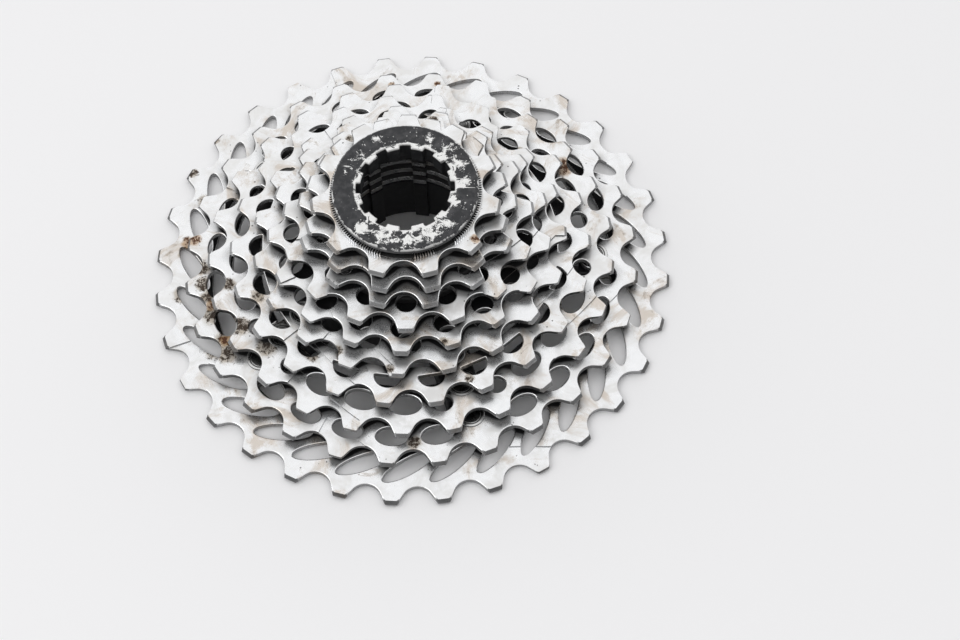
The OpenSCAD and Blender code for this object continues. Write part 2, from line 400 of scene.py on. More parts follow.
def lathe_data(profile, steps=96, centre=(0, 0)):
    """A closed profile of (radius, height) points turned round an upright axis."""
    rows = []
    for k in range(steps):
        a = 2 * math.pi * k / steps
        rows.append([(centre[0] + r * math.cos(a), centre[1] + r * math.sin(a), z)
                     for r, z in profile])
    return rows_data(rows)


def stack_data(loop, levels):
    """A prism whose outline grows outwards by a given step at each (height, step) level."""
    points = np.array(wound(loop, True))
    outward = -left_normals(points)
    count = len(points)
    verts, faces = [], []
    for z, grow in levels:
        verts += [(*p, z) for p in points + outward * grow]
    for r in range(len(levels) - 1):
        for i in range(count):
            a, b = r * count + i, r * count + (i + 1) % count
            faces.append((a, b, b + count, a + count))
    for r, up in ((0, False), (len(levels) - 1, True)):
        ring = [Vector(verts[r * count + i][:2]).to_3d() for i in range(count)]
        for a, b, c in geometry.tessellate_polygon([ring]):
            ids = [r * count + k for k in (a, b, c)]
            faces.append(tuple(ids) if up else tuple(reversed(ids)))
    return verts, faces


def rows_data(rows):
    """A closed ring of columns, each a closed list of (x, y, z) points of the same length."""
    count = len(rows[0])
    verts = [tuple(p) for row in rows for p in row]
    faces = []
    for k in range(len(rows)):
        n = (k + 1) % len(rows)
        for i in range(count):
            j = (i + 1) % count
            faces.append((k * count + i, n * count + i, n * count + j, k * count + j))
    return verts, faces


def upright(data, degrees, shift):
    """Stands a plate on edge: its X becomes the radius at an angle, its Y the height."""
    verts, faces = data
    angle = math.radians(degrees)
    c, s = math.cos(angle), math.sin(angle)
    return [(c * x + s * (z + shift), s * x - c * (z + shift), y) for x, y, z in verts], faces


def link_new(name, data):
    obj = bpy.data.objects.new(name, data)
    bpy.context.scene.collection.objects.link(obj)
    return obj


def mesh_object(name, verts, faces):
    """A mesh object in metres, welded, with outward faces and sharp edges by angle."""
    bm = bmesh.new()
    made = [bm.verts.new((x * MM, y * MM, z * MM)) for x, y, z in verts]
    for f in faces:
        if len(set(f)) >= 3:
            bm.faces.new([made[i] for i in f])
    bmesh.ops.remove_doubles(bm, verts=bm.verts, dist=WELD)
    bmesh.ops.dissolve_degenerate(bm, edges=bm.edges, dist=SLIVER)
    bmesh.ops.recalc_face_normals(bm, faces=bm.faces)
    mesh = bpy.data.meshes.new(name)
    bm.to_mesh(mesh)
    bm.free()
    obj = link_new(name, mesh)
    shade(obj)
    return obj


def shade(obj):
    mesh = obj.data
    mesh.polygons.foreach_set("use_smooth", [True] * len(mesh.polygons))
    mesh.set_sharp_from_angle(angle=math.radians(SHARP_ANGLE))


def combine(target, tool, operation):
    """Applies one exact boolean to target and removes the tool."""
    modifier = target.modifiers.new("combine", "BOOLEAN")
    modifier.object = tool
    modifier.operation = operation
    modifier.solver = "EXACT"
    bpy.context.view_layer.update()
    evaluated = target.evaluated_get(bpy.context.evaluated_depsgraph_get())
    mesh = bpy.data.meshes.new_from_object(evaluated)
    target.modifiers.clear()
    target.data = mesh
    mesh.name = target.name
    bpy.data.objects.remove(tool)
    shade(target)


def join_data(parts):
    verts, faces = [], []
    for v, f in parts:
        base = len(verts)
        verts += v
        faces += [tuple(i + base for i in face) for face in f]
    return verts, faces


# ---------------------------------------------------------------- sprockets

# Open inside of each ring sprocket: its radius, and its rivets' and tabs' radii
RINGS = {32: (50.5, OUTER_RIVET_AT, TAB_R), 28: (45.0, OUTER_RIVET_AT, TAB_R),
         25: (37.7, MIDDLE_RIVET_AT, TAB_R), 22: (34.5, INNER_RIVET_AT, INNER_TAB_R)}
PINNED = (19, 17, 15)


# One hole each. Near an arm's rivet there is none, and the holes beside it are smaller.
def slot_32t(_):
    return ellipse_hole(55.45, 14.3, 4.2, slant=31)


def hole_28t(off):
    if abs(off) < 4:
        return None
    if abs(off) < 8:
        return ellipse_hole(49.6, 5.2, 4.2, math.copysign(1.0, -off))
    return ellipse_hole(49.4, 7.9, 4.9)


def hole_25t(off):
    if abs(off) < 2:
        return None
    if abs(off) < 9.5:
        return ellipse_hole(43.0, 4.6, 4.4, math.copysign(1.5, -off))
    return ellipse_hole(42.7, 8.0, 5.3)


def hole_22t(_):
    return half_round_hole(36.9, 3.3)


def round_hole(at, radius):
    return lambda _: circle(radius, 40, (0, at))


# The row of holes of each sprocket: degrees from the first tooth, and what makes one hole
HOLES = {32: (3.5, slot_32t), 28: (0.5, hole_28t), 25: (0.5, hole_25t), 22: (0, hole_22t),
         19: (4.5, round_hole(30.0, 2.8)), 17: (0, round_hole(28.0, 2.7)),
         15: (0, round_hole(23.2, 2.5)), 13: (0, round_hole(21.6, 1.5))}


def sprocket_holes(teeth, phase):
    """Every opening inside a sprocket's teeth."""
    if teeth in RINGS:
        ring_r, rivet_at, tab_r = RINGS[teeth]
        holes = [ring_opening(ring_r, rivet_at, tab_r)] + rivet_holes(rivet_at)
    else:
        holes = [splined_bore()] + (pin_holes() if teeth in PINNED else [])
    if teeth in HOLES:
        turn, make = HOLES[teeth]
        holes += tooth_holes(teeth, phase + turn, make)
    return holes


def gate_data(start, span, inner, outer, reach, top):
    """The space above a shift gate: a sunken step whose inner edge runs out to the teeth."""
    outline = [polar(inner + (outer - inner) * t ** GATE_CURVE, start + span * t)
               for t in np.linspace(0, 1, 12)]
    outline += [polar(reach, start + span * t) for t in np.linspace(1, 0, 9)]
    return stack_data(outline, [(top - GATE_DEPTH, 0), (top + PAST, 0)])


def make_sprocket(teeth, phase, place, gates):
    """A sprocket. The two smallest have a boss on the back, and the smallest a lock face too."""
    low = BASE + place * LAYER
    top = low + PLATE
    outline, owners = toothed_outline(teeth, phase, WEAR_SEED + teeth)
    parts = [plate_data(outline, sprocket_holes(teeth, phase), low, top, EDGE,
                        (owners, *FRONT_TIP, *BACK_TIP))]
    if teeth in (11, 12):
        parts.append(plate_data(circle(BOSS_R, 120), [splined_bore()], low - GAP, low + OVERLAP,
                                0.1))
    if teeth == 11:
        parts.append(lock_face_data(top - OVERLAP, heights("sprocket_11t")[1]))
    obj = mesh_object(f"sprocket_{teeth}t_plate", *join_data(parts))
    if gates:
        starts, span, inner = gates
        pitch_r = pitch_radius(teeth)
        cuts = [gate_data(s, span, inner, pitch_r + GATE_END, pitch_r + GATE_REACH, top)
                for s in starts]
        combine(obj, mesh_object("gates", *join_data(cuts)), "DIFFERENCE")
    return obj


def lock_face_data(low, top):
    """The raised ring under the lockring: fine ribs, cut away at two gullets."""
    ribs, across = 176, 4
    rib_depth, rib_height, floor_height = 0.45, 0.6, 0.15
    inner = BORE_R + OVERLAP
    outer = LOCKRING_R + 0.75
    cut_gullets = ((263, 12.5), (301, 8))
    columns = []
    for k in range(ribs * across):
        degrees = k * 360 / (ribs * across)
        angle = math.radians(degrees)
        on_rib = k % across < across / 2
        r, z = (outer, top) if on_rib else (outer - rib_depth, top - rib_height)
        for middle, half in cut_gullets:
            if abs(degrees - middle) < half:
                r, z = outer - rib_depth, low + floor_height
        u = np.array([math.cos(angle), math.sin(angle)])
        columns.append([(*(u * a), h) for a, h in ((inner, low), (r, low), (r, z), (inner, z))])
    return rows_data(columns)


# Teeth, angle of one tooth, place in the stack, body, and the shift gates as
# (start angles, span, inner radius)
SPROCKETS = [
    (32, 276.05, 0, "cluster", ((289, 199, 109, 19), 15.5, 54.5)),
    (28, 276.1, 1, "cluster", ((244, 334, 64, 154), 15.5, 48.2)),
    (25, 281.3, 2, "cluster", ((229.5, 318, 57, 143), 25, 42.5)),
    (22, 277.4, 3, "cluster", ((220, 318, 48, 122), 34, 35.2)),
    (19, 283.6, 4, "cluster", ((233, 328, 45, 140), 30, 26.5)),
    (17, 287.4, 5, "cluster", ((205, 325, 85), 32, 24.6)),
    (15, 292.3, 6, "cluster", ((190, 310, 70), 36, 20.6)),
    (13, 281.3, 7, "gear_13t", None),
    (12, 284.0, 8, "gear_12t", None),
    (11, 284.0, 9, "gear_11t", None),
]


# ---------------------------------------------------------------- materials

def material(name):
    """A new material, the helper that adds its nodes, and its shader."""
    m = bpy.data.materials.new(name)
    m.use_nodes = True
    tree = m.node_tree
    tree.nodes.clear()
    out = tree.nodes.new("ShaderNodeOutputMaterial")
    shader = tree.nodes.new("ShaderNodeBsdfPrincipled")
    tree.links.new(shader.outputs[0], out.inputs[0])
    return m, Nodes(tree), shader


class Nodes:
    """Short ways to add the nodes that the materials share."""

    def __init__(self, tree):
        self.tree = tree
        self.coords = tree.nodes.new("ShaderNodeTexCoord").outputs["Object"]

    def link(self, value, socket):
        if isinstance(value, bpy.types.NodeSocket):
            self.tree.links.new(value, socket)
        else:
            socket.default_value = value

    def math(self, operation, a, b=0.0):
        n = self.tree.nodes.new("ShaderNodeMath")
        n.operation = operation
        self.link(a, n.inputs[0])
        self.link(b, n.inputs[1])
        return n.outputs[0]

    def plus(self, a, b):
        return self.math("ADD", a, b)

    def minus(self, a, b):
        return self.math("SUBTRACT", a, b)

    def times(self, a, b):
        return self.math("MULTIPLY", a, b)

    def most(self, a, b):
        return self.math("MAXIMUM", a, b)

    def scaled(self, scale, shift):
        n = self.tree.nodes.new("ShaderNodeMapping")
        self.tree.links.new(self.coords, n.inputs[0])
        n.inputs["Scale"].default_value = scale
        n.inputs["Location"].default_value = shift
        return n.outputs[0]

    def noise(self, scale, detail, rough, vector=None, distortion=0.0):
        n = self.tree.nodes.new("ShaderNodeTexNoise")
        self.link(vector if vector is not None else self.coords, n.inputs["Vector"])
        n.inputs["Scale"].default_value = scale
        n.inputs["Detail"].default_value = detail
        n.inputs["Roughness"].default_value = rough
        n.inputs["Distortion"].default_value = distortion
        return n.outputs["Fac"]

    def dots(self, scale, vector):
        """Distance from the nearest of many scattered points, in steps of their spacing."""
        n = self.tree.nodes.new("ShaderNodeTexVoronoi")
        self.link(vector, n.inputs["Vector"])
        n.inputs["Scale"].default_value = scale
        return n.outputs["Distance"]

    def ramp(self, value, low, high, a=0.0, b=1.0):
        n = self.tree.nodes.new("ShaderNodeMapRange")
        n.interpolation_type = "SMOOTHSTEP"
        self.link(value, n.inputs["Value"])
        n.inputs["From Min"].default_value = low
        n.inputs["From Max"].default_value = high
        n.inputs["To Min"].default_value = a
        n.inputs["To Max"].default_value = b
        return n.outputs["Result"]

    def mix(self, factor, a, b):
        n = self.tree.nodes.new("ShaderNodeMix")
        n.data_type = "RGBA"
        self.link(factor, n.inputs["Factor"])
        for value, socket in ((a, n.inputs["A"]), (b, n.inputs["B"])):
            if isinstance(value, tuple):
                value = (*value, 1.0)
            self.link(value, socket)
        return n.outputs["Result"]

    def lerp(self, factor, a, b):
        n = self.tree.nodes.new("ShaderNodeMix")
        n.data_type = "FLOAT"
        self.link(factor, n.inputs["Factor"])
        self.link(a, n.inputs["A"])
        self.link(b, n.inputs["B"])
        return n.outputs["Result"]

    def bump(self, height, strength, distance):
        n = self.tree.nodes.new("ShaderNodeBump")
        n.inputs["Strength"].default_value = strength
        n.inputs["Distance"].default_value = distance
        self.tree.links.new(height, n.inputs["Height"])
        return n.outputs["Normal"]

    def split(self, vector=None):
        n = self.tree.nodes.new("ShaderNodeSeparateXYZ")
        self.tree.links.new(self.coords if vector is None else vector, n.inputs[0])
        return n.outputs

    def normal_z(self):
        return self.split(self.tree.nodes.new("ShaderNodeTexCoord").outputs["Normal"])[2]

    def radius(self):
        x, y, _ = self.split()
        return self.math("SQRT", self.plus(self.times(x, x), self.times(y, y)))

    def near(self, point, reach):
        """1 at a point in millimetres, falling to 0 at reach."""
        n = self.tree.nodes.new("ShaderNodeVectorMath")
        n.operation = "DISTANCE"
        self.tree.links.new(self.coords, n.inputs[0])
        n.inputs[1].default_value = [v * MM for v in point]
        return self.ramp(n.outputs["Value"], 0.0, reach * MM, 1.0, 0.0)


# Colours of the plated steel, from the clean metal up to what lies on it, and one near-black for
# its walls and its painted shade
CLEAN_METAL = ((0.79, 0.80, 0.815), (0.93, 0.935, 0.945))
FILM = (0.68, 0.665, 0.64)
STAIN = (0.58, 0.50, 0.42)
SMUDGE = (0.22, 0.17, 0.12)
BLACK_AND_PAINTED_SHADE = (0.018, 0.018, 0.019)
SPECK = (0.035, 0.03, 0.028)
# The pale haze, the dark clumps, and how far the clumps fill a spot
GRIME_LOOK = ((0.42, 0.35, 0.26), (0.065, 0.048, 0.037), 0.22)
RUST_LOOK = ((0.50, 0.30, 0.13), (0.10, 0.045, 0.025), 0.22)
# How black the gullet walls and the tooth ends of each sprocket are; the black on the tooth ends
# is painted shade
WALL_BLACK_AND_TIP_SHADE = {32: (0.6, 0.84), 28: (0.85, 0.78), 25: (0.95, 0.7)}
SMALL_WALL_BLACK_AND_TIP_SHADE = (0.97, 0.62)


def wall_black_and_tip_shade(n, teeth, moved):
    """Near-black on the gullet walls, and painted shade on the tooth ends."""
    pitch_r = pitch_radius(teeth)
    radius = n.radius()
    slope = n.math("ABSOLUTE", n.normal_z())
    gullet_black, tip_shade = WALL_BLACK_AND_TIP_SHADE.get(teeth, SMALL_WALL_BLACK_AND_TIP_SHADE)
    outside = n.ramp(radius, (pitch_r - 0.5) * MM, (pitch_r - 0.25) * MM)
    inside = n.ramp(radius, (pitch_r - 5.5) * MM, (pitch_r - 4.0) * MM, 0.5, gullet_black)
    wall = n.times(n.ramp(slope, 0.45, 0.6, 1.0, 0.0), n.times(inside, n.minus(1.0, outside)))
    # Painted shade on the tooth ends
    tooth_end = n.times(n.ramp(slope, 0.85, 0.9, tip_shade, 0.0), outside)
    patchy = n.ramp(n.noise(420, 5, 0.65, moved), 0.3, 0.55, 0.92, 1.0)
    return n.times(n.most(wall, tooth_end), patchy)


def lock_face_black(n, black):
    """Leaves the raised ring of the smallest sprocket clean, apart from painted shade in its
    grooves by the lockring.
    """
    height = n.split()[2]
    ring_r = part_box("lockring")[1].x
    face_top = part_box("sprocket_11t")[1].z
    raised = n.ramp(height, face_top - 1.1 * MM, face_top - 1.0 * MM)
    # Painted shade in the grooves by the lockring
    groove_shade = n.times(n.ramp(n.radius(), ring_r + 0.45 * MM, ring_r + 0.6 * MM, 1.0, 0.0),
                     n.ramp(height, face_top - 0.2 * MM, face_top - 0.1 * MM, 1.0, 0.0))
    return n.lerp(raised, black, n.times(groove_shade, 0.97))


def overhang_shade_and_specks(n, next_teeth, next_phase, moved):
    """Painted shade on a face where the next smaller sprocket overhangs it, and how specked it is.
    """
    x, y, _ = n.split()
    turn = n.times(n.math("ARCTAN2", y, x), float(next_teeth))
    wave = n.math("COSINE", n.minus(turn, math.radians(next_teeth * next_phase)))
    rim = n.plus(n.times(wave, 2.1 * MM), (pitch_radius(next_teeth) - 1.8) * MM)
    uneven = n.times(n.noise(500, 3, 0.5, moved), 0.6 * MM)
    beyond = n.minus(n.minus(n.radius(), rim), uneven)
    # Painted shade: near-black under the overhanging rim, fading out beyond it
    covered_shade = n.plus(n.ramp(beyond, -1.5 * MM, 0.4 * MM, 0.72, 0.0),
                     n.ramp(beyond, -0.8 * MM, 3.4 * MM, 0.34, 0.0))
    specked = n.ramp(beyond, -0.5 * MM, 4.0 * MM, 0.14, 0.0)
    return n.times(covered_shade, n.ramp(n.normal_z(), 0.93, 0.97)), specked


def plated_steel(teeth, next_teeth, next_phase, underside_shade, rust, grime):
    """Worn bright plating with a thin film of dried dirt, specks and a little rust.

    Gullet walls are near-black; tooth ends, backs and faces under a smaller sprocket get painted
    shade.
    """
    m, n, shader = material(f"plated_steel_{teeth}t")
    shift = (teeth * 0.0137, teeth * 0.0071, teeth * 0.0293)
    moved = n.scaled((1, 1, 1), shift)
    film = n.ramp(n.noise(150, 6, 0.66, moved, 0.5), 0.42, 0.66)
    patch = n.ramp(n.noise(70, 7, 0.68, moved, 0.9), 0.5, 0.64)
    cloud = n.noise(420, 4, 0.6, moved)
    smudge = n.times(n.ramp(n.noise(230, 7, 0.7, moved, 0.8), 0.54, 0.66), patch)

    black = wall_black_and_tip_shade(n, teeth, moved)
    if teeth == 11:
        black = lock_face_black(n, black)
    # Painted shade on the faces that look down
    black = n.most(black, n.times(n.ramp(n.normal_z(), -0.7, -0.2, 1.0, 0.0), underside_shade))
    specked = 0.0
    # Painted shade where the next smaller sprocket overhangs the face
    if next_teeth:
        covered_shade, specked = overhang_shade_and_specks(n, next_teeth, next_phase, moved)
        black = n.most(black, covered_shade)
    few = n.plus(n.noise(170, 2, 0.5, moved), specked)
    dots = n.plus(n.dots(680, moved), n.times(n.noise(2400, 3, 0.6, moved), 0.3))
    speck = n.times(n.ramp(dots, 0.22, 0.32, 1.0, 0.0), n.ramp(few, 0.6, 0.66))

    colour = n.mix(cloud, *CLEAN_METAL)
    colour = n.mix(n.times(film, 0.5), colour, FILM)
    colour = n.mix(n.times(patch, 0.7), colour, STAIN)
    colour = n.mix(n.times(smudge, 0.6), colour, SMUDGE)
    metallic = n.minus(1.0, n.times(smudge, 0.4))
    rough = n.plus(n.lerp(film, 0.18, 0.34), n.times(n.noise(900, 3, 0.6, moved), 0.12))
    rough = n.most(rough, n.times(smudge, 0.6))
    coarse = n.noise(420, 6, 0.7, moved, 0.8)
    clumps = n.noise(850, 10, 0.78, moved, 0.5)
    for spots, (pale, deep, solid) in ((grime, GRIME_LOOK), (rust, RUST_LOOK)):
        if not spots:
            continue
        mask = n.near(*spots[0])
        for spot in spots[1:]:
            mask = n.most(mask, n.near(*spot))
        halo = n.times(n.ramp(n.plus(mask, coarse), 0.8, 1.25), 0.65)
        caked = n.times(n.ramp(mask, 0.02, 0.15),
                        n.ramp(n.plus(n.times(mask, solid), clumps), 0.64, 0.70))
        colour = n.mix(caked, n.mix(halo, colour, pale), deep)
        dull = n.most(halo, caked)
        metallic = n.times(metallic, n.minus(1.0, dull))
        rough = n.most(rough, n.times(dull, 0.8))
    # One near-black for the darkened walls and the painted shade
    colour = n.mix(black, colour, BLACK_AND_PAINTED_SHADE)
    metallic = n.times(metallic, n.minus(1.0, n.times(black, 0.8)))
    colour = n.mix(n.times(speck, 0.9), colour, SPECK)
    metallic = n.times(metallic, n.minus(1.0, speck))

    grain = n.noise(60, 3, 0.5, moved)
    fine = n.noise(2200, 3, 0.6, moved)
    scratch = n.noise(30, 3, 0.6, n.scaled((4.0, 130.0, 4.0), shift))
    relief = n.plus(n.times(grain, 8.0), n.plus(n.times(fine, 0.04), n.times(scratch, 0.12)))
    n.link(colour, shader.inputs["Base Color"])
    n.link(metallic, shader.inputs["Metallic"])
    n.link(rough, shader.inputs["Roughness"])
    n.link(n.bump(relief, 0.6, 0.06 * MM), shader.inputs["Normal"])
    shader.inputs["Specular IOR Level"].default_value = 0.15
    return m


ANODISED_SHIFT = (0.31, 0.17, 0.0)


def anodised(name):
    m, n, shader = material(name)
    moved = n.scaled((1, 1, 1), ANODISED_SHIFT)
    dust = n.ramp(n.noise(700, 5, 0.65, moved), 0.45, 0.75)
    n.link(n.mix(dust, (0.022, 0.023, 0.026), (0.06, 0.06, 0.064)), shader.inputs["Base Color"])
    n.link(n.lerp(dust, 0.38, 0.6), shader.inputs["Roughness"])
    n.link(n.bump(n.noise(1500, 4, 0.6, moved), 0.3, 0.04 * MM), shader.inputs["Normal"])
    shader.inputs["Metallic"].default_value = 0.3
    return m


# Patches of the lockring's face that are rubbed most, as (place, reach, amount)
RUBBED = (((0.5, -14.6), 4.6, 0.22), ((-5.4, -13.6), 4.6, 0.22), ((5.8, -13.4), 4.6, 0.22),
          ((-10.2, -10.8), 3.8, 0.24), ((10.2, -10.4), 3.6, 0.22),
          ((14.2, 1.0), 4.0, 0.21), ((13.0, 6.0), 4.0, 0.19), ((10.4, 10.6), 4.2, 0.18),
          ((5.8, 13.0), 3.6, 0.14), ((-13.6, 6.0), 3.4, 0.12), ((-10.6, 9.2), 3.0, 0.15),
          ((-7.0, 13.4), 2.8, 0.13), ((12.6, -4.6), 3.4, 0.13))


def worn_anodised(name):
    """Black anodised alloy, rubbed through to bare metal round the notches and in patches."""
    m, n, shader = material(name)
    moved = n.scaled((1, 1, 1), ANODISED_SHIFT)
    dust = n.ramp(n.noise(420, 6, 0.65, moved), 0.4, 0.75)
    black = n.mix(dust, (0.028, 0.029, 0.032), (0.075, 0.075, 0.079))
    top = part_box("lockring")[1].z
    height = n.split()[2]
    on_top = n.ramp(height, top - 0.75 * MM, top - 0.15 * MM)
    radius = n.radius()
    around_notches = n.ramp(radius, 11.5 * MM, 13.4 * MM, 0.22, 0.0)
    push = n.plus(around_notches, n.ramp(radius, 17.0 * MM, 17.5 * MM, 0.0, 0.16))
    for place, reach, amount in RUBBED:
        push = n.plus(push, n.times(n.near((*place, top / MM), reach), amount))
    blotch = n.noise(520, 11, 0.78, moved, 0.5)
    ragged = n.ramp(n.plus(blotch, push), 0.655, 0.67)
    streaks = n.noise(70, 6, 0.7, n.scaled((1.0, 7.0, 1.0), (0.2, 0.5, 0)), 1.0)
    scraped = n.ramp(n.plus(streaks, n.times(push, 0.8)), 0.70, 0.72)
    flecks = n.times(n.ramp(n.dots(1400, moved), 0.12, 0.2, 1.0, 0.0),
                     n.ramp(n.noise(260, 2, 0.5, moved), 0.52, 0.6))
    bare = n.times(n.most(n.most(ragged, flecks), n.times(scraped, 0.85)), on_top)
    notch_edge = n.times(n.ramp(radius, 12.2 * MM, 12.5 * MM, 1.0, 0.0),
                         n.ramp(height, top - 0.35 * MM, top - 0.1 * MM))
    bare = n.most(bare, n.times(notch_edge, n.ramp(blotch, 0.42, 0.48)))
    metal = n.mix(n.noise(900, 3, 0.6, moved), (0.74, 0.74, 0.73), (0.93, 0.93, 0.92))
    relief = n.minus(n.times(n.noise(1800, 3, 0.6, moved), 0.2), bare)
    n.link(n.mix(bare, black, metal), shader.inputs["Base Color"])
    n.link(n.times(bare, 0.7), shader.inputs["Metallic"])
    n.link(n.lerp(bare, 0.4, 0.45), shader.inputs["Roughness"])
    n.link(n.bump(relief, 0.5, 0.04 * MM), shader.inputs["Normal"])
    shader.inputs["Specular IOR Level"].default_value = 0.3
    return m


def moulded_plastic(name):
    m, n, shader = material(name)
    cloud = n.noise(500, 5, 0.6)
    n.link(n.mix(cloud, (0.014, 0.014, 0.015), (0.035, 0.034, 0.033)), shader.inputs["Base Color"])
    n.link(n.lerp(cloud, 0.42, 0.62), shader.inputs["Roughness"])
    n.link(n.bump(n.noise(2600, 3, 0.6), 0.35, 0.03 * MM), shader.inputs["Normal"])
    return m


def turned_steel(name, crest=None):
    """Dull dark steel; on the rivets the dark is painted shade, and their parts at the crest's
    height a painted highlight.
    """
    m, n, shader = material(name)
    cloud = n.noise(500, 5, 0.65)
    colour = n.mix(cloud, (0.06, 0.06, 0.062), (0.26, 0.26, 0.26))
    # On the rivets: painted highlight on the crests of the turned rings
    if crest is not None:
        rubbed = n.ramp(n.split()[2], (crest - 0.09) * MM, (crest - 0.03) * MM)
        colour = n.mix(rubbed, colour, n.mix(cloud, (0.45, 0.45, 0.45), (0.95, 0.95, 0.94)))
    n.link(colour, shader.inputs["Base Color"])
    n.link(n.lerp(cloud, 0.2, 0.36), shader.inputs["Roughness"])
    n.link(n.bump(n.noise(2200, 3, 0.6), 0.4, 0.03 * MM), shader.inputs["Normal"])
    shader.inputs["Metallic"].default_value = 1.0
    return m


def studio_floor(name):
    m, n, shader = material(name)
    tone = n.noise(3, 4, 0.5)
    n.link(n.mix(tone, (0.91, 0.908, 0.918), (0.93, 0.928, 0.938)), shader.inputs["Base Color"])
    shader.inputs["Roughness"].default_value = 0.75
    return m


# ---------------------------------------------------------------- other pieces

def spider_object():
    """The five-armed carrier: a splined hub and stepped arms, drilled for the rivets."""
    levels = [BASE + k * LAYER for k in range(5)]
    plate_top, hub_top = BASE + PLATE, levels[4]
    root_r, step_32, step_25, step_22 = 19, 42.0, 35.2, 28.9
    skin, pad_r, pad_edge = 0.15, 4.9, 0.3
    hub = mesh_object("spider_body", *plate_data(circle(HUB_R, 120), [splined_bore()],
                                                 BASE, hub_top, 0.5))
    profile = [(root_r, BASE + skin), (step_32, BASE + skin), (step_32, plate_top),
               (OUTER_RIVET_AT, plate_top), (OUTER_RIVET_AT, levels[1]), (step_32, levels[1]),
               (step_32, levels[2]), (step_25, levels[2]), (step_25, levels[3]),
               (step_22, levels[3]), (step_22, hub_top - skin), (root_r, hub_top - skin)]
    profile = [np.array(p, float) for p in profile]
    for i in range(ARMS):
        angle = ARM_ANGLE + i * 360 / ARMS
        arm = plate_data(profile, [], 0, ARM_W, 0.45)
        combine(hub, mesh_object("arm", *upright(arm, angle, -ARM_W / 2)), "UNION")
        pad = stack_data(circle(pad_r, 48, polar(OUTER_RIVET_AT, angle)),
                         [(plate_top, -pad_edge), (plate_top + pad_edge, 0),
                          (levels[1] - pad_edge, 0), (levels[1], -pad_edge)])
        combine(hub, mesh_object("pad", *pad), "UNION")
    drills = [stack_data(hole, [(BASE - PAST, 0), (hub_top + PAST, 0)])
              for at in (OUTER_RIVET_AT, MIDDLE_RIVET_AT, INNER_RIVET_AT)
              for hole in rivet_holes(at)]
    combine(hub, mesh_object("drills", *join_data(drills)), "DIFFERENCE")
    return hub


def rivet_set(name, at, head_r, top):
    """Five rivets: a low dished head with turned rings, and a tail that ends in a dimple."""
    centre_r, crest = 0.01, top + RIVET_RISE
    profile = [(centre_r, BASE + 0.25), (1.0, BASE + 0.25), (1.3, BASE), (SHANK_R - 0.2, BASE),
               (SHANK_R, BASE + 0.2), (SHANK_R, top), (head_r, top), (head_r, top + 0.1),
               (head_r - 0.15, crest), (head_r - 0.6, crest),
               (head_r - 0.68, top + 0.08), (head_r - 0.86, top + 0.08),
               (head_r - 0.94, crest), (head_r - 1.1, crest), (head_r - 1.2, top + 0.1),
               (0.9, top + 0.04), (centre_r, top + 0.02)]
    parts = [lathe_data(profile, 40, polar(at, ARM_ANGLE + i * 360 / ARMS))
             for i in range(ARMS)]
    return mesh_object(name, *join_data(parts))


def spacer_object(name, node, drilled):
    holes = [splined_bore()] + (pin_holes() if drilled else [])
    return mesh_object(name, *plate_data(circle(SPACER_R, 120), holes, *heights(node), 0.25))


def notched_opening():
    """The lockring's twelve-notch opening for its tool."""
    crest_r, notch_r, notch_w, notches, phase = 10.85, 11.9, 2.8, 12, 89.5
    step = 360 / notches
    points = []
    crest = math.degrees(math.asin(notch_w / 2 / crest_r))
    root = math.degrees(math.asin(notch_w / 2 / notch_r))
    for middle in np.arange(notches) * step + phase:
        points += arc((0, 0), notch_r, middle - root, middle + root, 5)
        points += arc((0, 0), crest_r, middle + crest, middle + step - crest, 6)
    return rounded(points, 0.4, sharper_than=40)


def lockring_object():
    """The flange, bevelled on its rim, over a neck with a real 1 mm thread."""
    low, top = heights("lockring")
    seat = heights("lock_washer")[1]
    crest_r, depth, pitch, bore_r, bevel, notch_depth = 15.25, 0.55, 1.0, 12.6, 0.5, 5.0
    relief_r, rim_edge, runout, thread_step = crest_r - 0.4, 0.12, 0.7, 0.125
    opening = np.array(wound(notched_opening(), True))
    flared = opening - left_normals(opening) * 0.22
    columns = []
    for inner, wide in zip(opening, flared):
        share = math.atan2(inner[1], inner[0]) / (2 * math.pi)
        u = inner / np.linalg.norm(inner)
        column = [(*(u * (bore_r + 0.4)), low), (*(u * (crest_r - runout)), low)]
        for z in np.arange(low + runout, seat - runout, thread_step):
            wave = abs(((z - share * pitch) % pitch) / pitch * 2 - 1)
            column.append((*(u * (crest_r - depth * wave)), z))
        for r, z in ((relief_r, seat - 0.5), (relief_r, seat), (LOCKRING_R - rim_edge, seat),
                     (LOCKRING_R, seat + rim_edge), (LOCKRING_R, top - bevel),
                     (LOCKRING_R - bevel * 0.5, top - bevel * 0.42), (LOCKRING_R - bevel, top)):
            column.append((*(u * r), z))
        column += [(*wide, top), (*inner, top - 0.2), (*inner, top - notch_depth),
                   (*(u * bore_r), top - notch_depth), (*(u * bore_r), low + 0.4)]
        columns.append(column)
    return mesh_object("lockring_body", *rows_data(columns))


def washer_object():
    low, high = heights("lock_washer")
    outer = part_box("lock_washer")[1].x / MM
    soft = 0.1
    profile = [(WASHER_HOLE_R, low), (outer - soft, low), (outer, low + soft),
               (outer, high - soft), (outer - soft, high), (WASHER_HOLE_R, high)]
    return mesh_object("lock_washer_ring", *lathe_data(profile, 128))


# ---------------------------------------------------------------- build

def finish_with(obj, mat):
    obj.data.materials.clear()
    obj.data.materials.append(mat)


def give(obj, mat, body, node):
    """Gives a new piece its material and body, and puts it in a CAD node's place."""
    finish_with(obj, mat)
    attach(obj, body)
    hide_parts(node)


